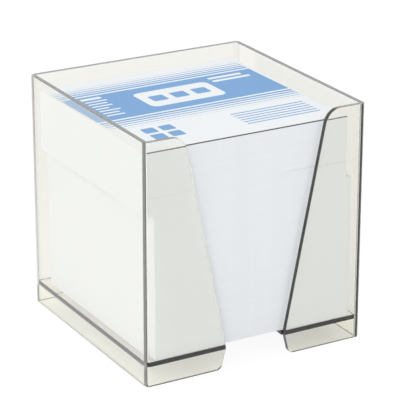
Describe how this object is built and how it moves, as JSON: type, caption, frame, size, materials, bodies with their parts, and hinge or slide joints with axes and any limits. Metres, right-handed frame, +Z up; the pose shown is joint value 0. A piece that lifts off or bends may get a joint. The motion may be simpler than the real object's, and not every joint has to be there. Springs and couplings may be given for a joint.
{
  "type": "memo cube holder",
  "caption": "Clear plastic desk holder with a tapering front notch and a finger cut-out, filled with a cube of loose memo sheets under a printed cover sheet.",
  "frame": {"origin": "on the desk, under the centre of the holder's square foot", "axes": "+Z up, the notched front wall faces -Y, +X to the right as seen from the front"},
  "size_m": [0.1, 0.1, 0.1016],
  "materials": {
    "clear_polystyrene": "clear moulded, slightly smoky, polished",
    "memo_paper": "uncoated white",
    "printed_paper": "thin white card with a grey-brown core and a blue print"
  },
  "bodies": {
    "holder": {"holder": "clear_polystyrene"},
    "lower_lift": {"memo_lot_01": "memo_paper", "memo_lot_02": "memo_paper", "memo_lot_03": "memo_paper", "memo_lot_04": "memo_paper", "memo_lot_05": "memo_paper", "memo_lot_06": "memo_paper", "memo_lot_07": "memo_paper", "memo_lot_08": "memo_paper", "memo_lot_09": "memo_paper", "memo_lot_10": "memo_paper", "memo_lot_11": "memo_paper", "memo_lot_12": "memo_paper"},
    "upper_lift": {"memo_lot_13": "memo_paper", "memo_lot_14": "memo_paper", "memo_lot_15": "memo_paper", "memo_lot_16": "memo_paper", "memo_lot_17": "memo_paper"},
    "memo_sheet": {"memo_sheet": "memo_paper"},
    "cover_sheet": {"cover_sheet": "printed_paper"}
  },
  "joints": [
    {"name": "lower_lift_out", "type": "slide", "parent": "holder", "child": "lower_lift", "axis": [0, 0, 1], "range_m": [0, 0.1]},
    {"name": "upper_lift_out", "type": "slide", "parent": "lower_lift", "child": "upper_lift", "axis": [0, 0, 1], "range_m": [0, 0.04]},
    {"name": "memo_sheet_out", "type": "slide", "parent": "upper_lift", "child": "memo_sheet", "axis": [0, 0, 1], "range_m": [0, 0.015]},
    {"name": "cover_sheet_out", "type": "slide", "parent": "memo_sheet", "child": "cover_sheet", "axis": [0, 0, 1], "range_m": [0, 0.015]}
  ]
}
